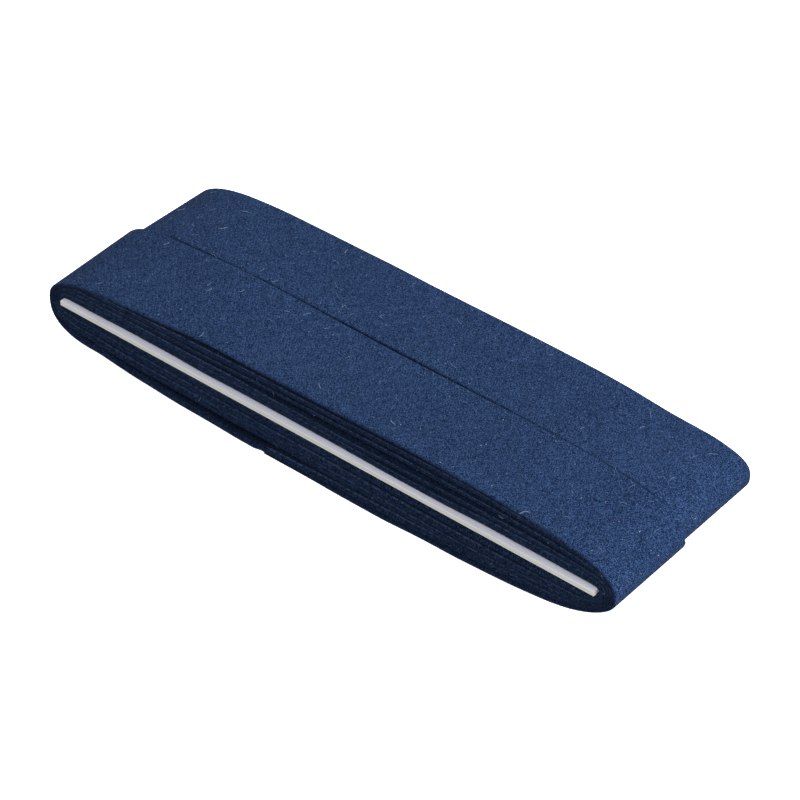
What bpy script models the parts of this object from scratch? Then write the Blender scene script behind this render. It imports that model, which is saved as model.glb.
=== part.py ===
"""A card of bias tape: a thin board with one long tape wound flat round it in two lanes.

Metres, +Z up. X runs along the card, Y from the front lane to the back one.
The origin is under the middle of the part, on the surface that it lies on.
"""

import math

import bmesh
import bpy
import numpy as np

# The board
CARD_LENGTH = 0.122
CARD_WIDTH = 0.0390
CARD_THICK = 0.0010
CARD_PROUD = 0.0009  # how far the board stands out in front of the tape

# The tape, folded to its finished width
TAPE_WIDTH = 0.0196
TAPE_THICK = 0.00038
LANE_GAP = 0.00015
WHOLE_WIDTH = 2 * TAPE_WIDTH + LANE_GAP
TAPE_FRONT = (CARD_PROUD - WHOLE_WIDTH) / 2  # the front lane's front edge, along Y

# The wound form
CARD_HEIGHT = 0.0103  # the board's middle above the surface that the part lies on
LOWEST = TAPE_THICK / 2  # the flat spot: the middle of the tape's thickness stops here
FIRST_END = 0.0008  # from the end of the board to the middle of the first turn
FIRST_NOSE = 0.0016  # how long the rounding at the end of the first turn is
LAST_NOSE = 0.0130  # and of the outer one
NOSE_POWER = 2.6  # how blunt the rounding is

STEPS = 64  # straight pieces in one turn
CROSSING = 0.18  # the tape changes lanes within this share of a turn, under the board

# The two lanes. Middle is the middle of the lane's width. Way is the end that the
# first turn goes round, -1 for the left. Ends are how far the outer turn stands out
# past the board at the left and the right, and leans how far its rounding there
# drops or rises.
# Over has a row for each time that the tape passes over the board, the innermost
# first, and under one for each time that it passes below. A row gives places along
# the board, 0 at its middle and 1 at its right end, and how far the tape's middle is
# from the board's there, in millimetres. Rise is how much higher the rear edge of the
# outer turn is than its front one, on top.
FRONT_LANE = {
    "middle": TAPE_FRONT + TAPE_WIDTH / 2,
    "way": -1,
    "turns": 5.03,
    "ends": (0.0040, 0.00365),
    "leans": (-0.0016, 0.0004),
    "over": (
        ((-1.07, 1.1), (-0.7, 1.7), (0.0, 1.6), (0.4, 1.5), (0.8, 1.8), (1.07, 1.5)),
        ((-1.07, 2.5), (-0.7, 2.7), (0.0, 2.9), (0.8, 3.3), (1.07, 2.5)),
        ((-1.07, 3.35), (-0.7, 4.1), (-0.2, 5.0), (0.4, 5.4), (0.8, 5.0), (1.07, 3.5)),
        ((-1.07, 4.6), (-0.7, 5.3), (0.0, 6.6), (0.4, 6.9), (0.8, 6.3), (1.07, 4.3)),
        (
            (-1.07, 5.6), (-0.9, 5.8), (-0.7, 6.7), (-0.4, 8.1), (0.0, 8.3),
            (0.4, 8.6), (0.6, 8.3), (0.8, 7.4), (0.9, 6.6), (1.07, 5.0),
        ),
    ),
    "under": (
        ((-1.07, 1.3), (-0.3, 1.1), (0.3, 1.1)),
        ((-1.07, 2.1), (-0.9, 2.4), (0.8, 2.7), (1.07, 2.0)),
        ((-1.07, 3.4), (-0.7, 4.3), (0.0, 5.2), (0.6, 5.1), (0.9, 4.3), (1.07, 2.6)),
        ((-1.07, 4.8), (-0.7, 6.3), (0.0, 6.7), (0.6, 6.4), (0.9, 5.2), (1.07, 3.4)),
        (
            (-1.07, 6.6), (-0.9, 7.9), (-0.7, 9.25), (-0.4, 9.9), (-0.225, 10.2),
            (-0.21, 9.68), (0.0, 9.0), (0.4, 8.1), (0.8, 7.1), (0.9, 6.3), (1.07, 4.3),
        ),
        (
            (-0.25, 10.3), (0.1, 10.3), (0.4, 9.75), (0.6, 9.15), (0.8, 8.25),
            (0.9, 7.3), (1.07, 4.9),
        ),
    ),
    "rise": (
        (-1.07, 1.4), (-0.95, 1.5), (-0.86, 1.05), (-0.68, 1.0), (-0.4, 0.15), (0.4, -0.55),
        (0.8, 0.0), (1.07, 0.2),
    ),
}
BACK_LANE = {
    "middle": TAPE_FRONT + TAPE_WIDTH * 1.5 + LANE_GAP,
    "way": 1,
    "turns": 4.03,
    "ends": (0.0025, 0.0030),
    "leans": (-0.0008, 0.0004),
    "over": (
        ((-1.07, 1.5), (0.0, 1.3), (1.07, 1.1)),
        ((-1.07, 3.0), (-0.4, 3.4), (0.2, 3.3), (1.07, 2.2)),
        ((-1.07, 4.4), (-0.7, 5.5), (0.0, 5.9), (0.6, 5.5), (1.07, 3.7)),
        (
            (-1.07, 5.8), (-0.9, 6.8), (-0.7, 7.6), (-0.4, 8.0), (0.0, 8.0),
            (0.6, 7.75), (0.8, 7.35), (0.9, 6.85), (1.07, 5.4),
        ),
    ),
    "under": (
        ((-0.3, 1.1), (0.3, 1.1), (1.07, 1.3)),
        ((-1.07, 2.2), (-0.8, 2.9), (0.8, 2.9), (1.07, 2.1)),
        ((-1.07, 3.6), (-0.6, 5.4), (0.0, 5.8), (0.6, 5.3), (1.07, 3.2)),
        (
            (-1.07, 4.9), (-0.6, 7.9), (0.0, 9.1), (0.21, 9.68), (0.225, 10.2),
            (0.4, 9.5), (0.6, 8.8), (0.8, 7.8), (0.9, 6.9), (1.07, 4.4),
        ),
        (
            (-1.07, 6.0), (-0.9, 7.7), (-0.7, 9.0), (-0.4, 9.8), (-0.1, 10.3),
            (0.25, 10.3),
        ),
    ),
    "rise": (
        (-1.07, -0.6), (-0.7, -0.4), (-0.4, -0.6), (0.4, -1.0), (0.6, -1.3), (0.8, -2.0),
        (0.95, -1.8), (1.07, -1.0),
    ),
}


def clear_scene():
    for item in list(bpy.data.objects):
        bpy.data.objects.remove(item, do_unlink=True)


def material(name, colour, roughness):
    made = bpy.data.materials.new(name)
    made.use_nodes = True
    shader = made.node_tree.nodes["Principled BSDF"]
    shader.inputs["Base Color"].default_value = (*colour, 1.0)
    shader.inputs["Roughness"].default_value = roughness
    shader.inputs["Metallic"].default_value = 0.0
    made.diffuse_color = (*colour, 1.0)
    return made


def new_object(name, mesh, collection, finish):
    made = bpy.data.objects.new(name, mesh)
    collection.objects.link(made)
    mesh.materials.append(finish)
    return made


def add_card(collection, finish):
    """The board: a plain cut rectangle that stands out a little at the front."""
    mesh = bpy.data.meshes.new("card")
    shape = bmesh.new()
    bmesh.ops.create_cube(shape, size=1.0)
    bmesh.ops.scale(shape, vec=(CARD_LENGTH, CARD_WIDTH, CARD_THICK), verts=shape.verts)
    shape.to_mesh(mesh)
    shape.free()
    card = new_object("card", mesh, collection, finish)
    card.location = (0.0, TAPE_FRONT - CARD_PROUD + CARD_WIDTH / 2, CARD_HEIGHT)
    return card


def along_row(row, along):
    """A row's value, in metres, at a place along the board."""
    return float(np.interp(along, *zip(*row))) / 1000


def turn_point(turn, lane):
    """Where the tape's middle is after so many turns in a lane, and how it tilts.

    Returns X, then Z at the tape's front edge and at its rear one. A turn starts under
    the middle of the board, goes round one end, back over the top, and round the
    other end.
    """
    angle = 2 * math.pi * turn
    toward = lane["way"] * math.sin(angle)  # -1 at the left end, 1 at the right one
    end = 0 if toward < 0 else 1
    wound = turn / (int(lane["turns"]) - 0.25)  # 1 where the outer turn passes its last end
    reach = CARD_LENGTH / 2 + FIRST_END + (lane["ends"][end] - FIRST_END) * wound
    x = reach * toward

    along = x / (CARD_LENGTH / 2)
    above = math.cos(angle) < 0
    row = lane["over"][int(turn)] if above else lane["under"][round(turn)]
    front = along_row(row, along)
    outward = min(turn / (int(lane["turns"]) - 0.75), 1.0)  # 1 all along the outer turn's top
    tilt = along_row(lane["rise"], along) * outward**2 if above else 0.0
    nose = FIRST_NOSE + (LAST_NOSE - FIRST_NOSE) * wound
    into_nose = max(0.0, 1 - (reach - abs(x)) / nose)
    rounding = (1 - into_nose**NOSE_POWER) ** (1 / NOSE_POWER)
    middle = CARD_HEIGHT + lane["leans"][end] * wound * into_nose
    side = 1 if above else -1
    edges = [middle + side * height * rounding for height in (front, front + tilt)]
    return x, *[max(z, LOWEST) for z in edges]


def crossing_share(place):
    """0 in the front lane and 1 in the back one, with a smooth change between them."""
    t = min(max(0.5 + place / (2 * CROSSING), 0.0), 1.0)
    return t * t * (3 - 2 * t)


def tape_rows():
    """The tape from its front loose end to its back one, a row of points across it."""
    first, last = (round(lane["turns"] * STEPS) for lane in (FRONT_LANE, BACK_LANE))
    rows = []
    for step in range(-first, last + 1):
        place = step / STEPS
        x, front, rear = turn_point(abs(place), FRONT_LANE if place < 0 else BACK_LANE)
        share = crossing_share(place)
        middle = (1 - share) * FRONT_LANE["middle"] + share * BACK_LANE["middle"]
        edge = TAPE_WIDTH / 2
        across = ((-edge, front), (0.0, (front + rear) / 2), (edge, rear))
        rows.append([(x, middle + y, z) for y, z in across])
    return rows


def add_tape(collection, finish):
    """One tape in two lanes, with its thickness added by Solidify."""
    mesh = bpy.data.meshes.new("bias_tape")
    shape = bmesh.new()
    rows = [[shape.verts.new(point) for point in row] for row in tape_rows()]
    for row, after in zip(rows, rows[1:]):
        for i in range(len(row) - 1):
            shape.faces.new((row[i], row[i + 1], after[i + 1], after[i]))
    shape.to_mesh(mesh)
    shape.free()
    tape = new_object("bias_tape", mesh, collection, finish)
    thicken = tape.modifiers.new("thickness", "SOLIDIFY")
    thicken.thickness = TAPE_THICK
    thicken.offset = 0.0
    return tape


def build():
    clear_scene()
    collection = bpy.data.collections.new("card_of_bias_tape")
    bpy.context.scene.collection.children.link(collection)
    add_card(collection, material("pale board", (0.62, 0.62, 0.60), 0.7))
    add_tape(collection, material("navy cotton", (0.03, 0.055, 0.13), 0.9))


build()
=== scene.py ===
"""The looks of a card of bias tape: folded navy cotton wound in two lanes round a pale board.

Metres, +Z up, in the part's own frame. X runs along the board, Y from the front lane
to the back one.
"""

import math

import bmesh
import bpy
import numpy as np
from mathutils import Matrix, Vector


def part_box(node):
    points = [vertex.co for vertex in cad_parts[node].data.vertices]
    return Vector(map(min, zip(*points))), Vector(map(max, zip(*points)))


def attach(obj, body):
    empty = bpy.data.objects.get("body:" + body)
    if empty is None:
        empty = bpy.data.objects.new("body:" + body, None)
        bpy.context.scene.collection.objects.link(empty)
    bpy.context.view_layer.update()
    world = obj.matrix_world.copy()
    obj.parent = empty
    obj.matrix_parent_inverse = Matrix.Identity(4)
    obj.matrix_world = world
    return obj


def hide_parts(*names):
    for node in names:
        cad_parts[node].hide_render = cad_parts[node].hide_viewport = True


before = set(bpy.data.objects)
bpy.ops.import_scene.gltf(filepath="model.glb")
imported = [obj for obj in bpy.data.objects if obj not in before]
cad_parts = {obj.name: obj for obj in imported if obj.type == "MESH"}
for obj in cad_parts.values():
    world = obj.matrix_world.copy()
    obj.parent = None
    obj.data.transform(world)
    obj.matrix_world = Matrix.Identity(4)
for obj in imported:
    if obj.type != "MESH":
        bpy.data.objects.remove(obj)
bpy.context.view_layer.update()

MM = 0.001

# The board, from the frame
BOARD_LOW, BOARD_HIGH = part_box("card")
BOARD_SIZE = BOARD_HIGH - BOARD_LOW
BOARD_MIDDLE = (BOARD_LOW + BOARD_HIGH) / 2
HALF_BOARD = BOARD_SIZE.x / 2
HALF_THICK = BOARD_SIZE.z / 2
BOARD_ROUNDING = 0.07 * MM  # the cut edges are pressed a little round
BOARD_PROUD = 0.9 * MM  # how far it stands out in front of the tape

# The tape. It is cut as a strip whose raw edges are both folded to the middle.
CUT_WIDTH = 0.040
TAPE_WIDTH = 0.0196
LANE_GAP = 0.15 * MM
TAPE_FRONT = BOARD_LOW.y + BOARD_PROUD
CLOTH = 0.14 * MM  # thickness of one ply
SPREAD = 0.19 * MM  # most that a ply lies from the middle of the folded strip
LEAST_SPREAD = 0.09 * MM
FOLD_ROUND = (0.26 * MM, 0.72 * MM)  # least and most that a ply stands away at a fold
FOLD_LOOSER = 0.24 * MM  # and so much more under the board, where the turns hang open
FOLD_FILL = 0.8  # a fold there fills at least this share of the room beside it
ABOVE_BOARD = 0.1 * MM  # the innermost turn's folds hang to this far from the board
FOLD_DROOP = 0.55 * MM  # the outer turn's folds hang this far into the room below
FOLD_EASE = 3.0 * MM  # the plies come together this far in from a fold
FOLD_ANGLES = (-90, -60, -30, 0, 30, 60, 90)  # round a fold, from its inner ply to its outer
FOLD_START = 4  # the column of the first of them
PUFF_WAVE = 25 * MM  # the folds open and close over about this length
MOST_ROOM = 1.3 * MM  # a wider gap between two turns counts as this
SMOOTH_ROWS = 3  # each way, so that a fold opens and closes without a step
AIR = 0.02 * MM  # least air between two turns
RAW_GAP = 0.8 * MM  # between the two raw edges, under the middle of the face

# The wound form, as in the solids
FIRST_END = 0.8 * MM  # from the end of the board to the middle of the first turn
FIRST_NOSE = 1.6 * MM  # how long the rounding at the end of the first turn is
LAST_NOSE = 13.0 * MM  # and of the outer one
NOSE_POWER = 2.6  # how blunt the rounding is
SOLID_TAPE = 0.38 * MM  # the flat spot stops at half of this
CROSSING = 0.18  # the lane changes within this share of a turn, under the board

# Way is the end that a lane's first turn goes round, -1 for the left. Ends are how far
# the outer turn stands out past the board at the left and the right, and leans how far
# its rounding there drops or rises. Over has a row for each time that the tape passes
# over the board, the innermost first, and under one for each time that it passes below.
# A row gives places along the board, 0 at its middle and 1 at its right end, and how
# far the tape's middle is from the board's there, in millimetres. Rise is how much
# higher the rear edge of the outer turn is than its front one, on top.
FRONT_LANE = {
    "front": TAPE_FRONT,
    "way": -1,
    "turns": 5.03,
    "ends": (4 * MM, 3.65 * MM),
    "leans": (-1.6 * MM, 0.4 * MM),
    "over": (
        ((-1.07, 1.1), (-0.7, 1.7), (0.0, 1.6), (0.4, 1.5), (0.8, 1.8), (1.07, 1.5)),
        ((-1.07, 2.5), (-0.7, 2.7), (0.0, 2.9), (0.8, 3.3), (1.07, 2.5)),
        ((-1.07, 3.35), (-0.7, 4.1), (-0.2, 5.0), (0.4, 5.4), (0.8, 5.0), (1.07, 3.5)),
        ((-1.07, 4.6), (-0.7, 5.3), (0.0, 6.6), (0.4, 6.9), (0.8, 6.3), (1.07, 4.3)),
        (
            (-1.07, 5.6), (-0.9, 5.8), (-0.7, 6.7), (-0.4, 8.1), (0.0, 8.3),
            (0.4, 8.6), (0.6, 8.3), (0.8, 7.4), (0.9, 6.6), (1.07, 5.0),
        ),
    ),
    "under": (
        ((-1.07, 1.3), (-0.3, 1.1), (0.3, 1.1)),
        ((-1.07, 2.1), (-0.9, 2.4), (0.8, 2.7), (1.07, 2.0)),
        ((-1.07, 3.4), (-0.7, 4.3), (0.0, 5.2), (0.6, 5.1), (0.9, 4.3), (1.07, 2.6)),
        ((-1.07, 4.8), (-0.7, 6.3), (0.0, 6.7), (0.6, 6.4), (0.9, 5.2), (1.07, 3.4)),
        (
            (-1.07, 6.6), (-0.9, 7.9), (-0.7, 9.25), (-0.4, 9.9), (-0.225, 10.2),
            (-0.21, 9.68), (0.0, 9.0), (0.4, 8.1), (0.8, 7.1), (0.9, 6.3), (1.07, 4.3),
        ),
        (
            (-0.25, 10.3), (0.1, 10.3), (0.4, 9.75), (0.6, 9.15), (0.8, 8.25),
            (0.9, 7.3), (1.07, 4.9),
        ),
    ),
    "rise": (
        (-1.07, 1.4), (-0.95, 1.5), (-0.86, 1.05), (-0.68, 1.0), (-0.4, 0.15), (0.4, -0.55),
        (0.8, 0.0), (1.07, 0.2),
    ),
}
BACK_LANE = {
    "front": TAPE_FRONT + TAPE_WIDTH + LANE_GAP,
    "way": 1,
    "turns": 4.03,
    "ends": (2.5 * MM, 3 * MM),
    "leans": (-0.8 * MM, 0.4 * MM),
    "over": (
        ((-1.07, 1.5), (0.0, 1.3), (1.07, 1.1)),
        ((-1.07, 3.0), (-0.4, 3.4), (0.2, 3.3), (1.07, 2.2)),
        ((-1.07, 4.4), (-0.7, 5.5), (0.0, 5.9), (0.6, 5.5), (1.07, 3.7)),
        (
            (-1.07, 5.8), (-0.9, 6.8), (-0.7, 7.6), (-0.4, 8.0), (0.0, 8.0),
            (0.6, 7.75), (0.8, 7.35), (0.9, 6.85), (1.07, 5.4),
        ),
    ),
    "under": (
        ((-0.3, 1.1), (0.3, 1.1), (1.07, 1.3)),
        ((-1.07, 2.2), (-0.8, 2.9), (0.8, 2.9), (1.07, 2.1)),
        ((-1.07, 3.6), (-0.6, 5.4), (0.0, 5.8), (0.6, 5.3), (1.07, 3.2)),
        (
            (-1.07, 4.9), (-0.6, 7.9), (0.0, 9.1), (0.21, 9.68), (0.225, 10.2),
            (0.4, 9.5), (0.6, 8.8), (0.8, 7.8), (0.9, 6.9), (1.07, 4.4),
        ),
        (
            (-1.07, 6.0), (-0.9, 7.7), (-0.7, 9.0), (-0.4, 9.8), (-0.1, 10.3),
            (0.25, 10.3),
        ),
    ),
    "rise": (
        (-1.07, -0.6), (-0.7, -0.4), (-0.4, -0.6), (0.4, -1.0), (0.6, -1.3), (0.8, -2.0),
        (0.95, -1.8), (1.07, -1.0),
    ),
}

# The line where the two outer turns meet on top wanders from the lanes' own line, in
# millimetres toward the back, and is this wide, in millimetres.
SEAM_WANDER = ((-1.1, 0.35), (-0.6, 0.3), (-0.1, 0.05), (0.5, -0.25), (1.1, -0.5))
SEAM_WIDTH = (
    (-1.1, 0.08), (-0.85, 0.30), (-0.6, 0.50), (-0.3, 0.55), (0.4, 0.52), (0.6, 0.36),
    (0.85, 0.14), (1.1, 0.06),
)

# How far the folds wander from a straight line, and over what lengths
EDGE_WAVES = (9 * MM, 60 * MM)
EDGE_WANDER = (0.10 * MM, 0.16 * MM)
INNER_WANDER = 0.12 * MM  # where the two lanes meet below the top, over the first length

# What the folds' surface is marked with, for the looks
HIGHLIGHT_ANGLE = 60  # where a fold's painted highlight lies, from its tip up, on its upper side
HIGHLIGHT_BELOW = 0.9  # how strong the painted highlight on a fold under the board is, against one above it
FOLD_LINT = 0.4  # how much lint a front fold holds, against the open face; from this value down the cloth gets the full painted shade

# Rows along the tape: how far apart on the long runs and round the ends
RUN_STEP = 2.2 * MM
NOSE_STEP = 0.6 * MM
NOSE_REGION = 7.0 * MM  # from the end of the board
FINE = 1500  # samples in a turn, from which the rows are picked

# Loose fibres on the outer turns and the front folds. Half a hair's thickness, and how
# far it curls, are shares of its length.
LINT = {
    "lint_hairs": {
        "Hairs per square metre": 38000.0,
        "Least length": 0.40 * MM,
        "Most length": 1.7 * MM,
        "Thickness": 0.019,
        "Curl": 0.24,
        "Height": 0.10 * MM,
        "Lowest place": 3.0 * MM,
        "Seed": 5,
    },
    "lint_specks": {
        "Hairs per square metre": 90000.0,
        "Least length": 0.12 * MM,
        "Most length": 0.30 * MM,
        "Thickness": 0.16,
        "Curl": 0.2,
        "Height": 0.08 * MM,
        "Lowest place": 1.0 * MM,
        "Seed": 8,
    },
}

# How each hair is made
HAIR_PIECES, HAIR_SIDES = 6, 3
HAIR_RISE = 0.1  # of its far end, as a share of its length
HAIR_BENDS = (0.3, 1.4)  # least and most that its curl is multiplied by
MOSTLY_SHORT = 3.0  # the higher, the more of them are short

SEED = 11  # of the folds' unevenness
BEND_SEED, NUMBER_SEED = 7, 3  # of each hair's bend and of its colour

# The cloth: its threads, and the sizes of the patterns in its colour
THREAD = 0.26 * MM
DRIFT = 0.25 * MM  # how far the threads wander
DRIFT_WAVE = 3 * MM
CLOUD_WAVE = 14 * MM
FIBRE_WAVE = 0.09 * MM
SPECK = 0.10 * MM
PATCH_WAVE = 0.7 * MM  # of the patches that break up the painted highlight on a fold
WEAVE_DEPTH = 0.07 * MM
DARKEST_TONE = -0.82
TONE_SHARES = {"thread": 0.30, "speck": 1.08, "fibre": 0.50, "slub": 0.10, "cloud": 0.10}
FULL_HEIGHT = 0.9  # where a thread shows its whole colour, and not the painted shade of the gap between threads
PAINTED_SHADE_BETWEEN_TURNS = 0.5  # painted shade: how bright the cloth between the turns is painted, against the open faces
HIGHLIGHT_RANGE = (0.45, 1.0, 0.0, 0.8)  # the fold's painted highlight mark from and to, and how pale from and to
PATCHES = (0.38, 0.62, 0.2, 1.0)  # the noise from and to, and the share of that from and to

# The paperboard
PULP_WAVE = 0.5 * MM
LAYER_LONG, LAYER_THICK = 6 * MM, 0.1 * MM  # the streaks that show along its cut edge
LINING = 0.08 * MM  # the white lining of each face
BOARD_RELIEF = 0.03 * MM

# The paper that it lies on
PAPER_WAVE = 2 * MM
FLOOR_SIZE = 3.0

# The lamps: the place, size and power of each. All are turned to one point.
LAMPS = {
    "overhead": ((0.15, 0.40, 0.85), 0.8, 6.3),
    "right_side": ((0.9, 0.20, 0.27), 0.5, 11.5),
    "left_back": ((-0.8, 0.6, 0.5), 0.5, 2.0),
    "front_fill": ((0.25, -0.65, 0.70), 0.5, 5.3),
}
LAMP_AIM = (0, 0, 0.01)
WORLD_LIGHT = 0.30

# The camera: one long lens at the photograph's viewing angle
CAMERA_AZIMUTH = 39.9
CAMERA_ELEVATION = 39.1
CAMERA_DISTANCE = 0.5257
CAMERA_TARGET = Vector((5.10, -2.36, 10.8)) * MM
CAMERA_LENS = 135.0
CAMERA_SENSOR = 36.0


def linear(colour):
    """A #rrggbb colour as the linear red, green, blue and alpha that a shader takes."""
    parts = [int(colour[i : i + 2], 16) / 255 for i in (1, 3, 5)]
    low, high = 12.92, 1.055
    return (*[c / low if c <= 0.04045 else ((c + high - 1) / high) ** 2.4 for c in parts], 1.0)


def add_node(tree, kind, inputs=None, **settings):
    """Adds one node. Inputs gives a value, or another node's output, for each socket."""
    node = tree.nodes.new(kind)
    for name, value in settings.items():
        setattr(node, name, value)
    for socket, value in (inputs or {}).items():
        if isinstance(value, bpy.types.NodeSocket):
            tree.links.new(value, node.inputs[socket])
        else:
            node.inputs[socket].default_value = value
    return node


def math_node(tree, operation, *values):
    """One sum, product or other step of arithmetic."""
    made = add_node(tree, "ShaderNodeMath", dict(enumerate(values)), operation=operation)
    return made.outputs[0]


def mapped(tree, value, from_low, from_high, to_low, to_high):
    """A value moved from one range to another, and kept within it."""
    ends = {1: from_low, 2: from_high, 3: to_low, 4: to_high}
    return add_node(tree, "ShaderNodeMapRange", {0: value, **ends}).outputs[0]


def mixed(tree, share, first, second):
    """A number between two."""
    return add_node(tree, "ShaderNodeMix", {0: share, 2: first, 3: second}).outputs[0]


def blended(tree, share, first, second):
    """A colour between two."""
    sockets = {0: share, 6: first, 7: second}
    return add_node(tree, "ShaderNodeMix", sockets, data_type="RGBA").outputs[2]


def noise(tree, where, wave, detail, output="Fac", **settings):
    """Soft noise with features about as long as the wave."""
    sockets = {"Vector": where, "Scale": 1 / wave, "Detail": detail}
    return add_node(tree, "ShaderNodeTexNoise", sockets, **settings).outputs[output]


def new_material(name):
    made = bpy.data.materials.new(name)
    made.use_nodes = True
    made.node_tree.nodes.clear()
    return made, made.node_tree


def finish_material(tree, shader):
    add_node(tree, "ShaderNodeOutputMaterial", {"Surface": shader.outputs["BSDF"]})


def new_piece(name, mesh, material):
    """A mesh object at the origin that moves with the one body."""
    piece = bpy.data.objects.new(name, mesh)
    bpy.context.collection.objects.link(piece)
    mesh.materials.append(material)
    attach(piece, "root")
    return piece


def smooth_curve(at, known, values):
    """A smooth curve through a short table, with no overshoot between its points."""
    known, values = np.array(known, float), np.array(values, float)
    step = np.diff(known)
    slope = np.diff(values) / step
    tangent = np.zeros_like(values)
    tangent[0], tangent[-1] = slope[0], slope[-1]
    same_way = slope[:-1] * slope[1:] > 0
    mean = 2 * slope[:-1] * slope[1:] / np.where(same_way, slope[:-1] + slope[1:], 1)
    tangent[1:-1] = np.where(same_way, mean, 0)
    at = np.clip(at, known[0], known[-1])
    i = np.clip(np.searchsorted(known, at) - 1, 0, len(step) - 1)
    t = (at - known[i]) / step[i]
    return (
        values[i] * (1 + 2 * t) * (1 - t) ** 2
        + tangent[i] * step[i] * t * (1 - t) ** 2
        + values[i + 1] * t**2 * (3 - 2 * t)
        + tangent[i + 1] * step[i] * t**2 * (t - 1)
    )


def unevenness(random, at, wave, size):
    """A soft random line: new values about every wave, never more than size."""
    count = int((at.max() - at.min()) / wave) + 4
    knots = at.min() + wave * (np.arange(count) - 1)
    return smooth_curve(at, knots, random.uniform(-size, size, count))


def along_row(row, along):
    """A row's values, in metres, at places along the board."""
    known, values = zip(*row)
    return smooth_curve(along, known, values) * MM


def turn_points(turn, lane):
    """X, and Z at the strip's front and rear edges, after so many turns in a lane."""
    angle = 2 * math.pi * turn
    toward = lane["way"] * np.sin(angle)
    left = toward < 0
    above = np.cos(angle) < 0
    wound = turn / (int(lane["turns"]) - 0.25)  # 1 where the outer turn passes its last end
    reach = HALF_BOARD + FIRST_END
    reach = reach + (np.where(left, *lane["ends"]) - FIRST_END) * wound
    x = reach * toward

    along = x / HALF_BOARD
    front = np.zeros_like(turn)
    for passes, here, number in (
        (lane["over"], above, np.floor(turn)), (lane["under"], ~above, np.rint(turn))
    ):
        for n, row in enumerate(passes):
            chosen = here & (number == n)
            front[chosen] = along_row(row, along[chosen])
    outward = np.minimum(turn / (int(lane["turns"]) - 0.75), 1)  # 1 all along the outer top
    tilt = along_row(lane["rise"], along) * outward**2 * above
    nose = FIRST_NOSE + (LAST_NOSE - FIRST_NOSE) * wound
    into_nose = np.clip(1 - (reach - abs(x)) / nose, 0, 1)
    rounding = (1 - into_nose**NOSE_POWER) ** (1 / NOSE_POWER)
    middle = BOARD_MIDDLE.z + np.where(left, *lane["leans"]) * wound * into_nose
    side = np.where(above, 1, -1) * rounding
    edges = [np.maximum(middle + side * h, SOLID_TAPE / 2) for h in (front, front + tilt)]
    return x, *edges


def smoothed(values, width):
    """A running mean over so many samples, with the ends kept."""
    padded = np.pad(values, width, mode="edge")
    kernel = np.ones(2 * width + 1) / (2 * width + 1)
    return np.convolve(padded, kernel, mode="valid")


def tape_path():
    """The tape's whole way, finely sampled, from its front loose end to its back one."""
    first, last = (round(lane["turns"] * FINE) for lane in (FRONT_LANE, BACK_LANE))
    place = np.arange(-first, last + 1) / FINE
    front = place < 0
    turn = abs(place)
    both = [turn_points(turn, lane) for lane in (FRONT_LANE, BACK_LANE)]
    x, low, high = (np.where(front, a, b) for a, b in zip(*both))
    middle = (low + high) / 2
    along = np.gradient(x), np.gradient(middle)
    length = np.hypot(*along)
    path = {"place": place, "turn": turn, "front": front, "x": x, "z_front": low, "z_rear": high}
    path["nx"], path["nz"] = along[1] / length, -along[0] / length
    path["length"] = np.concatenate(([0], np.cumsum(np.hypot(np.diff(x), np.diff(middle)))))
    for edge in ("front", "rear"):
        path["out_" + edge], path["in_" + edge] = rooms(path, path["z_" + edge])
    return path


def rooms(path, z):
    """Half the way from each sample to the next turn outward, and to the one inward.

    The innermost turn has the whole way to the board there.
    """
    last = len(path["place"]) - 1
    outside = np.where(path["front"], -FINE, FINE)
    found = []
    for shift in (outside, -outside):
        other = np.arange(last + 1) + shift
        real = (other >= 0) & (other <= last)
        other = np.clip(other, 0, last)
        real &= path["front"][other] == path["front"]
        gap = abs((path["x"][other] - path["x"]) * path["nx"] + (z[other] - z) * path["nz"])
        found.append(np.where(real, gap / 2, np.inf))
    to_board = np.maximum(abs(z - BOARD_MIDDLE.z) - HALF_THICK, abs(path["x"]) - HALF_BOARD)
    found[1] = np.where(np.isinf(found[1]), to_board, found[1])
    return found


def pick_rows(path):
    """The samples that become rows: close together round the ends, wider on the long runs."""
    round_end = abs(path["x"]) > HALF_BOARD - NOSE_REGION
    step = np.where(round_end, NOSE_STEP, RUN_STEP)
    passed = np.concatenate(([0], np.cumsum(np.diff(path["length"]) / step[1:])))
    rows = np.searchsorted(passed, np.arange(0, passed[-1]))
    return np.append(rows, len(passed) - 1)


def fold_angle(column, last):
    """A column's angle round the nearer fold, or None if it isn't part of a fold."""
    place = min(column, last - column) - FOLD_START
    return FOLD_ANGLES[place] if 0 <= place < len(FOLD_ANGLES) else None


def half_section(middle, spread, out, inward):
    """Half of the folded strip's section: distance from its fold, and distance outward.

    It runs from the raw edge round the fold to the middle of the outer face. Spread is
    how far the plies lie from the strip's middle, and out and inward how far they
    stand away at the fold.
    """
    depth = (out + inward) * 0.5
    flap = middle - RAW_GAP / 2
    half = [
        (flap, -spread),
        ((flap + FOLD_EASE) / 2, -spread),
        (FOLD_EASE, -spread),
        (FOLD_EASE * 0.5, -(spread + inward) / 2),
    ]
    for degrees in FOLD_ANGLES:
        a = math.radians(degrees)
        side = inward if degrees < 0 else out
        half.append((depth * (1 - math.cos(a)), side * math.sin(a)))
    half += [
        (FOLD_EASE * 0.5, (spread + out) / 2),
        (FOLD_EASE, spread),
        ((middle + FOLD_EASE) / 2, spread),
    ]
    return half


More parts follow.
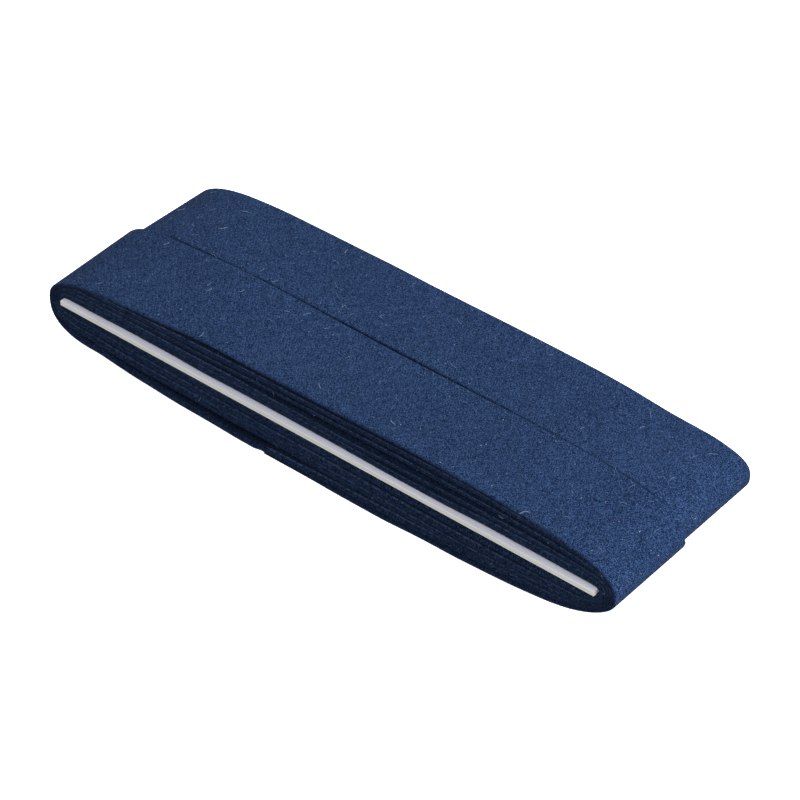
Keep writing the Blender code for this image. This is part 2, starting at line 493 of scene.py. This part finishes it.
def edges_across(row, random):
    """Where the strip's front and rear folds are along Y in each row."""
    length, is_front = row["length"], row["front"]
    cross = np.clip(0.5 + row["place"] / (2 * CROSSING), 0, 1)
    cross = cross * cross * (3 - 2 * cross)
    lane = FRONT_LANE["front"] + cross * (BACK_LANE["front"] - FRONT_LANE["front"])
    on_top = np.isinf(row["out_front"]) & (row["z_front"] > BOARD_MIDDLE.z)
    along = row["x"] / HALF_BOARD
    seam = along_row(SEAM_WANDER, along) * on_top
    close = np.where(on_top, along_row(SEAM_WIDTH, along), LANE_GAP) - LANE_GAP

    outer_fold = sum(
        unevenness(random, length, wave, size) for wave, size in zip(EDGE_WAVES, EDGE_WANDER)
    )
    inner_fold = unevenness(random, length, EDGE_WAVES[0], INNER_WANDER)
    inner_fold = abs(inner_fold) * ~on_top + close / 2
    front = lane + np.where(is_front, outer_fold, inner_fold + seam)
    rear = lane + TAPE_WIDTH + np.where(is_front, seam - inner_fold, -outer_fold)
    return front, rear


def strip_columns(row, front, rear, random):
    """The folded strip's columns, from raw edge to raw edge: Y and distance outward by row."""
    air = CLOTH / 2 + AIR / 2
    outer_turn = np.isinf(row["out_front"])
    innermost = row["turn"] < 1
    hanging = smoothed((row["z_front"] < BOARD_MIDDLE.z).astype(float), SMOOTH_ROWS)
    room = {
        way: smoothed(np.minimum(row[way], MOST_ROOM) - air, SMOOTH_ROWS)
        for way in ("out_front", "in_front", "out_rear", "in_rear")
    }
    spread = np.clip(np.minimum.reduce(list(room.values())), LEAST_SPREAD, SPREAD)
    halves = []
    for edge in ("front", "rear"):
        least, most = FOLD_ROUND
        wave = unevenness(random, row["length"], PUFF_WAVE, (most - least) / 2)
        puff = (least + most) / 2 + wave + FOLD_LOOSER * hanging
        out_room, in_room = room["out_" + edge], room["in_" + edge]
        out = np.maximum(puff, FOLD_FILL * hanging * out_room)
        out = np.where(outer_turn, spread, np.clip(out_room, spread, out))
        inward = np.where(outer_turn, FOLD_DROOP, puff)
        inward = np.where(innermost, in_room - ABOVE_BOARD, inward)
        inward = np.clip(in_room, spread, np.maximum(inward, FOLD_FILL * hanging * in_room))
        halves.append(half_section((rear - front) / 2, spread, out, inward))
    columns = [(front + y, n) for y, n in halves[0]]
    columns.append(((front + rear) / 2, spread))
    columns += [(rear - y, n) for y, n in reversed(halves[1])]
    return columns


def surface_marks(column, last, row):
    """How strongly a column of the cloth carries the painted highlight on a fold's upper side,
    and how open it is to lint and to light (the rest gets painted shade), in each row.
    """
    outer_turn = np.isinf(row["out_front"])
    highlit, lint_and_light = np.zeros_like(row["length"]), np.zeros_like(row["length"])
    angle = fold_angle(column, last)
    if angle is not None:
        # The painted highlight goes on the upper side of each fold of an inner turn.
        highlit = (angle * np.sign(row["nz"]) == HIGHLIGHT_ANGLE) * ~outer_turn
        highlit = highlit * np.where(row["z_front"] < BOARD_MIDDLE.z, HIGHLIGHT_BELOW, 1.0)
        if column < last / 2:
            lint_and_light = FOLD_LINT * row["front"]
        if angle >= 0:
            lint_and_light = np.where(outer_turn, 1.0, lint_and_light)
    elif FOLD_START < column < last - FOLD_START:
        lint_and_light = outer_turn
    return highlit, lint_and_light


def tape_mesh():
    """One length of cloth, folded and wound, with a UV map in metres of flat cloth."""
    random = np.random.default_rng(SEED)
    path = tape_path()
    rows = pick_rows(path)
    row = {name: values[rows] for name, values in path.items()}
    length = row["length"]
    front, rear = edges_across(row, random)
    columns = strip_columns(row, front, rear, random)

    ys, ns = zip(*[(np.median(y - front), np.median(n)) for y, n in columns])
    across = np.concatenate(([0], np.cumsum(np.hypot(np.diff(ys), np.diff(ns)))))
    across *= CUT_WIDTH / across[-1]

    mesh = bpy.data.meshes.new("wound_tape")
    shape = bmesh.new()
    marks = [shape.verts.layers.float.new(name) for name in ("fold_highlight", "open_to_lint")]
    uv = shape.loops.layers.uv.new("cloth")
    grid, at = [], {}
    tilt = (row["z_rear"] - row["z_front"]) / TAPE_WIDTH
    for k, (y, n) in enumerate(columns):
        x = row["x"] + row["nx"] * n
        z = row["z_front"] + tilt * (y - front) + row["nz"] * n
        z = np.maximum(z, CLOTH / 2)
        marked = surface_marks(k, len(columns) - 1, row)
        line = []
        for i in range(len(length)):
            vert = shape.verts.new((x[i], y[i], z[i]))
            for layer, values in zip(marks, marked):
                vert[layer] = float(values[i])
            at[vert] = (across[k], length[i])
            line.append(vert)
        grid.append(line)
    for line, after in zip(grid, grid[1:]):
        for i in range(len(line) - 1):
            face = shape.faces.new((line[i], after[i], after[i + 1], line[i + 1]))
            face.smooth = True
            for loop in face.loops:
                loop[uv].uv = at[loop.vert]
    shape.to_mesh(mesh)
    shape.free()
    return mesh, float(length[-1])


def board_mesh():
    """The board: a cut rectangle with its edges pressed a little round."""
    mesh = bpy.data.meshes.new("board")
    shape = bmesh.new()
    bmesh.ops.create_cube(shape, size=1.0)
    bmesh.ops.scale(shape, vec=BOARD_SIZE, verts=shape.verts)
    bmesh.ops.translate(shape, vec=BOARD_MIDDLE, verts=shape.verts)
    bmesh.ops.bevel(
        shape, geom=shape.edges[:], offset=BOARD_ROUNDING, segments=2, affect="EDGES", profile=0.5
    )
    shape.to_mesh(mesh)
    shape.free()
    return mesh


def navy_cotton():
    """Navy cotton in plain weave, cut on the bias: matt, speckled, slightly fuzzy.

    The threads run at 45 degrees to the tape. A pale painted highlight runs along the upper side
    of each fold.
    """
    material, tree = new_material("navy_cotton_plain_weave")
    flat = {"noise_dimensions": "2D"}

    uv = add_node(tree, "ShaderNodeUVMap", uv_map="cloth").outputs["UV"]
    drift = noise(tree, uv, DRIFT_WAVE, 2.0, "Color", **flat)
    drift = add_node(
        tree, "ShaderNodeVectorMath", {0: drift, 1: (0.5, 0.5, 0.5)}, operation="SUBTRACT"
    ).outputs[0]
    moved = add_node(
        tree, "ShaderNodeVectorMath", {0: drift, 1: (DRIFT,) * 3, 2: uv}, operation="MULTIPLY_ADD"
    ).outputs[0]
    threads = add_node(
        tree, "ShaderNodeMapping",
        {"Vector": moved, "Rotation": (0, 0, math.pi / 4), "Scale": (1 / THREAD,) * 3},
    ).outputs[0]
    parts = add_node(tree, "ShaderNodeSeparateXYZ", {0: threads})
    sines, numbers = [], []
    for axis in ("X", "Y"):
        turned = math_node(tree, "MULTIPLY", parts.outputs[axis], math.pi)
        sines.append(math_node(tree, "SINE", turned))
        numbers.append(math_node(tree, "FLOOR", parts.outputs[axis]))
    both = math_node(tree, "MULTIPLY", *sines)
    warp_over = math_node(tree, "GREATER_THAN", both, 0.0)
    rounds = [math_node(tree, "ABSOLUTE", s) for s in sines]
    crown = math_node(tree, "ABSOLUTE", both)
    height = math_node(tree, "ADD", mixed(tree, warp_over, rounds[1], rounds[0]), crown)

    cell = add_node(tree, "ShaderNodeCombineXYZ", {0: numbers[0], 1: numbers[1]}).outputs[0]
    square = add_node(
        tree, "ShaderNodeVectorMath", {0: uv, "Scale": 1 / SPECK}, operation="SCALE"
    ).outputs[0]
    square = add_node(tree, "ShaderNodeVectorMath", {0: square}, operation="FLOOR").outputs[0]
    thread, speck = [
        add_node(tree, "ShaderNodeTexWhiteNoise", {"Vector": where}, **flat).outputs["Value"]
        for where in (cell, square)
    ]
    slub = [
        add_node(
            tree, "ShaderNodeTexWhiteNoise", {"W": n}, noise_dimensions="1D"
        ).outputs["Value"]
        for n in numbers
    ]
    pattern = {
        "thread": thread,
        "speck": speck,
        "fibre": noise(tree, uv, FIBRE_WAVE, 1.0, **flat),
        "slub": mixed(tree, warp_over, slub[1], slub[0]),
        "cloud": noise(tree, uv, CLOUD_WAVE, 3.0, **flat),
    }
    tone = DARKEST_TONE
    for name, share in TONE_SHARES.items():
        tone = math_node(tree, "MULTIPLY_ADD", pattern[name], share, tone)
    yarn = blended(tree, tone, linear("#00132F"), linear("#4C6BA0"))
    # Painted shade: where the weave sinks between the threads, the colour goes to near black.
    raised = mapped(tree, height, 0.0, FULL_HEIGHT, 0.0, 1.0)
    woven = blended(tree, raised, linear("#030E24"), yarn)

    # The open faces keep their whole colour. Between the turns and on the front folds the colour
    # is painted half as bright: painted shade. Between the turns the colour is half as bright,
    # by dye or by shade: the photo doesn't tell.
    lint_and_light_place = add_node(
        tree, "ShaderNodeAttribute", attribute_name="open_to_lint"
    ).outputs["Fac"]
    painted_shade_factor = mapped(tree, lint_and_light_place, FOLD_LINT, 1.0, PAINTED_SHADE_BETWEEN_TURNS, 1.0)
    woven = add_node(
        tree, "ShaderNodeVectorMath", {0: woven, "Scale": painted_shade_factor}, operation="SCALE"
    ).outputs[0]

    # Painted highlight: a pale line along the upper side of each fold, broken into patches.
    highlight = add_node(tree, "ShaderNodeAttribute", attribute_name="fold_highlight").outputs["Fac"]
    highlight = mapped(tree, highlight, *HIGHLIGHT_RANGE)
    patchy = mapped(tree, noise(tree, uv, PATCH_WAVE, 2.0, **flat), *PATCHES)
    highlight = math_node(tree, "MULTIPLY", highlight, patchy)
    colour = blended(tree, highlight, woven, linear("#4C5F84"))

    bump = add_node(
        tree, "ShaderNodeBump", {"Height": height, "Strength": 1.0, "Distance": WEAVE_DEPTH}
    ).outputs[0]
    shader = add_node(
        tree, "ShaderNodeBsdfPrincipled",
        {
            "Base Color": colour, "Normal": bump, "Roughness": 0.9, "Specular IOR Level": 0.05,
            "Sheen Weight": 0.04, "Sheen Roughness": 0.5,
            "Sheen Tint": linear("#8FA6D4"),
        },
    )
    finish_material(tree, shader)
    return material


def paperboard():
    """Uncoated white-lined paperboard, cut with a blade: chalky faces, a layered cut edge."""
    material, tree = new_material("white_lined_paperboard")
    where = add_node(tree, "ShaderNodeTexCoord").outputs["Object"]
    parts = add_node(tree, "ShaderNodeSeparateXYZ", {0: where})
    fibres = noise(tree, where, PULP_WAVE, 4.0)

    # The layers show as streaks along the cut edge
    scale = (1 / LAYER_LONG, 1 / LAYER_LONG, 1 / LAYER_THICK)
    stretched = add_node(tree, "ShaderNodeMapping", {"Vector": where, "Scale": scale}).outputs[0]
    layers = noise(tree, stretched, 1.0, 2.0)
    edge = blended(tree, layers, linear("#BEBEB2"), linear("#E2E2D8"))
    face = blended(tree, fibres, linear("#DCDEEC"), linear("#EAECF7"))
    off_middle = math_node(tree, "SUBTRACT", parts.outputs["Z"], BOARD_MIDDLE.z)
    off_middle = math_node(tree, "ABSOLUTE", off_middle)
    is_face = math_node(tree, "GREATER_THAN", off_middle, HALF_THICK - LINING)
    colour = blended(tree, is_face, edge, face)
    relief = mixed(tree, is_face, layers, fibres)
    bump = add_node(
        tree, "ShaderNodeBump", {"Height": relief, "Strength": 0.3, "Distance": BOARD_RELIEF}
    ).outputs[0]
    shader = add_node(
        tree, "ShaderNodeBsdfPrincipled",
        {"Base Color": colour, "Normal": bump, "Roughness": 0.75, "Specular IOR Level": 0.35},
    )
    finish_material(tree, shader)
    return material


def white_paper():
    """The white paper of a light table: lit from below as well, so hardly a shadow shows.

    Its own light reaches the camera only, and it throws little back on the object.
    """
    material, tree = new_material("backlit_white_paper")
    where = add_node(tree, "ShaderNodeTexCoord").outputs["Object"]
    grain = noise(tree, where, PAPER_WAVE, 2.0)
    colour = blended(tree, grain, linear("#F6F6F6"), linear("#F9F9F9"))
    seen = add_node(tree, "ShaderNodeLightPath").outputs["Is Camera Ray"]
    paper = blended(tree, seen, linear("#B0B0B0"), colour)
    shader = add_node(
        tree, "ShaderNodeBsdfPrincipled",
        {
            "Base Color": paper, "Roughness": 0.9, "Specular IOR Level": 0.1,
            "Emission Color": colour, "Emission Strength": seen,
        },
    )
    finish_material(tree, shader)
    return material


def cotton_lint():
    """Loose pale cotton fibres and fluff that cling to the cloth."""
    material, tree = new_material("cotton_lint")
    number = add_node(tree, "ShaderNodeAttribute", attribute_name="hair_number").outputs["Fac"]
    colour = blended(tree, number, linear("#536A90"), linear("#A9B6CB"))
    shader = add_node(
        tree, "ShaderNodeBsdfPrincipled",
        {"Base Color": colour, "Roughness": 0.8, "Specular IOR Level": 0.2},
    )
    finish_material(tree, shader)
    return material


def add_tape(material):
    mesh, length = tape_mesh()
    tape = new_piece("wound_tape", mesh, material)
    thicken = tape.modifiers.new("cloth_thickness", "SOLIDIFY")
    thicken.thickness = CLOTH
    thicken.offset = 0.0
    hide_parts("bias_tape")
    return tape


def drawn(tree, least, most, seed):
    """A random number for each hair."""
    return add_node(
        tree, "FunctionNodeRandomValue", {2: least, 3: most, "Seed": seed}, data_type="FLOAT"
    ).outputs[1]


def lint_tree(hair_material):
    """Geometry Nodes: short curled hairs on the faces and folds that are open to lint."""
    tree = bpy.data.node_groups.new("lint", "GeometryNodeTree")
    face = tree.interface
    sockets = {}
    face.new_socket("Cloth", in_out="INPUT", socket_type="NodeSocketGeometry")
    for name, value in LINT["lint_hairs"].items():
        kind = "NodeSocketFloat" if isinstance(value, float) else "NodeSocketInt"
        sockets[name] = face.new_socket(name, in_out="INPUT", socket_type=kind).identifier
    face.new_socket("Hairs", in_out="OUTPUT", socket_type="NodeSocketGeometry")
    given = add_node(tree, "NodeGroupInput").outputs

    shows = add_node(
        tree, "GeometryNodeInputNamedAttribute", {"Name": "open_to_lint"}, data_type="FLOAT"
    ).outputs["Attribute"]
    place = add_node(tree, "GeometryNodeInputPosition").outputs[0]
    height = add_node(tree, "ShaderNodeSeparateXYZ", {0: place}).outputs["Z"]
    high = math_node(tree, "GREATER_THAN", height, given["Lowest place"])
    shows = math_node(tree, "MULTIPLY", shows, high)
    density = math_node(tree, "MULTIPLY", shows, given["Hairs per square metre"])
    spread = add_node(
        tree, "GeometryNodeDistributePointsOnFaces",
        {"Mesh": given["Cloth"], "Density": density, "Seed": given["Seed"]},
    )
    lift = add_node(
        tree, "ShaderNodeVectorMath", {0: spread.outputs["Normal"], "Scale": given["Height"]},
        operation="SCALE",
    ).outputs[0]
    points = add_node(
        tree, "GeometryNodeSetPosition", {"Geometry": spread.outputs["Points"], "Offset": lift}
    ).outputs[0]

    bow = add_node(tree, "ShaderNodeCombineXYZ", {"Y": given["Curl"], "Z": HAIR_RISE}).outputs[0]
    start, end = (-0.5, 0.0, 0.0), (0.5, 0.0, HAIR_RISE)  # one long, and scaled later
    strand = add_node(
        tree, "GeometryNodeCurveQuadraticBezier",
        {"Resolution": HAIR_PIECES, "Start": start, "Middle": bow, "End": end},
    ).outputs[0]
    profile = add_node(
        tree, "GeometryNodeCurvePrimitiveCircle",
        {"Resolution": HAIR_SIDES, "Radius": given["Thickness"]},
    ).outputs["Curve"]
    hair = add_node(
        tree, "GeometryNodeCurveToMesh", {"Curve": strand, "Profile Curve": profile}
    ).outputs[0]

    turn = drawn(tree, 0.0, 2 * math.pi, given["Seed"])
    turned = add_node(
        tree, "FunctionNodeRotateRotation",
        {
            "Rotation": spread.outputs["Rotation"],
            "Rotate By": add_node(tree, "ShaderNodeCombineXYZ", {"Z": turn}).outputs[0],
        },
        rotation_space="LOCAL",
    ).outputs[0]
    long = drawn(tree, 0.0, 1.0, given["Seed"])
    long = math_node(tree, "POWER", long, MOSTLY_SHORT)
    size = add_node(
        tree, "ShaderNodeMapRange",
        {0: long, 3: given["Least length"], 4: given["Most length"]},
    ).outputs[0]
    bend = math_node(tree, "MULTIPLY", size, drawn(tree, *HAIR_BENDS, BEND_SEED))
    scale = add_node(tree, "ShaderNodeCombineXYZ", {"X": size, "Y": bend, "Z": size}).outputs[0]
    set_out = add_node(
        tree, "GeometryNodeInstanceOnPoints",
        {"Points": points, "Instance": hair, "Rotation": turned, "Scale": scale},
    ).outputs[0]
    number = drawn(tree, 0.0, 1.0, NUMBER_SEED)
    named = add_node(
        tree, "GeometryNodeStoreNamedAttribute",
        {"Geometry": set_out, "Name": "hair_number", "Value": number},
        data_type="FLOAT", domain="INSTANCE",
    ).outputs[0]
    real = add_node(tree, "GeometryNodeRealizeInstances", {"Geometry": named}).outputs[0]
    finished = add_node(
        tree, "GeometryNodeSetMaterial", {"Geometry": real, "Material": hair_material}
    ).outputs[0]
    add_node(tree, "NodeGroupOutput", {"Hairs": finished})
    return tree, sockets


def add_lint(cloth_mesh, material):
    """Hairs and specks of fluff on the outer turns and the front folds."""
    tree, sockets = lint_tree(material)
    for name, values in LINT.items():
        holder = bpy.data.objects.new("cloth_under_" + name, cloth_mesh)
        bpy.context.collection.objects.link(holder)
        grow = holder.modifiers.new(name, "NODES")
        grow.node_group = tree
        for label, value in values.items():
            grow[sockets[label]] = value
        bpy.context.view_layer.update()
        graph = bpy.context.evaluated_depsgraph_get()
        mesh = bpy.data.meshes.new_from_object(holder.evaluated_get(graph))
        bpy.data.objects.remove(holder, do_unlink=True)
        mesh.materials.clear()
        piece = new_piece(name, mesh, material)


def add_board(material):
    board = new_piece("board", board_mesh(), material)
    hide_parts("card")


def add_floor(material):
    mesh = bpy.data.meshes.new("floor")
    shape = bmesh.new()
    bmesh.ops.create_grid(shape, x_segments=1, y_segments=1, size=FLOOR_SIZE)
    shape.to_mesh(mesh)
    shape.free()
    floor = bpy.data.objects.new("floor", mesh)
    bpy.context.collection.objects.link(floor)
    mesh.materials.append(material)


def add_lamp(name, place, size, power):
    """A square soft box at a place."""
    data = bpy.data.lights.new(name, "AREA")
    data.shape = "SQUARE"
    data.size = size
    data.energy = power
    lamp = bpy.data.objects.new(name, data)
    bpy.context.collection.objects.link(lamp)
    lamp.location = place
    toward = Vector(LAMP_AIM) - Vector(place)
    lamp.rotation_euler = toward.to_track_quat("-Z", "Y").to_euler()


def add_light():
    """Soft studio light: from above and behind, from the right, and a fill from the front."""
    for name, lamp in LAMPS.items():
        add_lamp(name, *lamp)
    world = bpy.data.worlds.new("studio")
    world.use_nodes = True
    background = world.node_tree.nodes["Background"]
    background.inputs["Color"].default_value = linear("#FFFFFF")
    background.inputs["Strength"].default_value = WORLD_LIGHT
    bpy.context.scene.world = world


def add_camera():
    data = bpy.data.cameras.new("camera")
    data.lens = CAMERA_LENS
    data.sensor_width = CAMERA_SENSOR
    camera = bpy.data.objects.new("camera", data)
    bpy.context.collection.objects.link(camera)
    a, e = math.radians(CAMERA_AZIMUTH), math.radians(CAMERA_ELEVATION)
    back = Vector((math.sin(a) * math.cos(e), -math.cos(a) * math.cos(e), math.sin(e)))
    camera.location = CAMERA_TARGET + back * CAMERA_DISTANCE
    camera.rotation_euler = (-back).to_track_quat("-Z", "Y").to_euler()
    data.clip_start = 0.01
    bpy.context.scene.camera = camera


def build():
    add_camera()
    add_board(paperboard())
    tape = add_tape(navy_cotton())
    add_lint(tape.data, cotton_lint())
    add_floor(white_paper())
    add_light()
    bpy.context.scene.view_settings.view_transform = "Standard"


build()
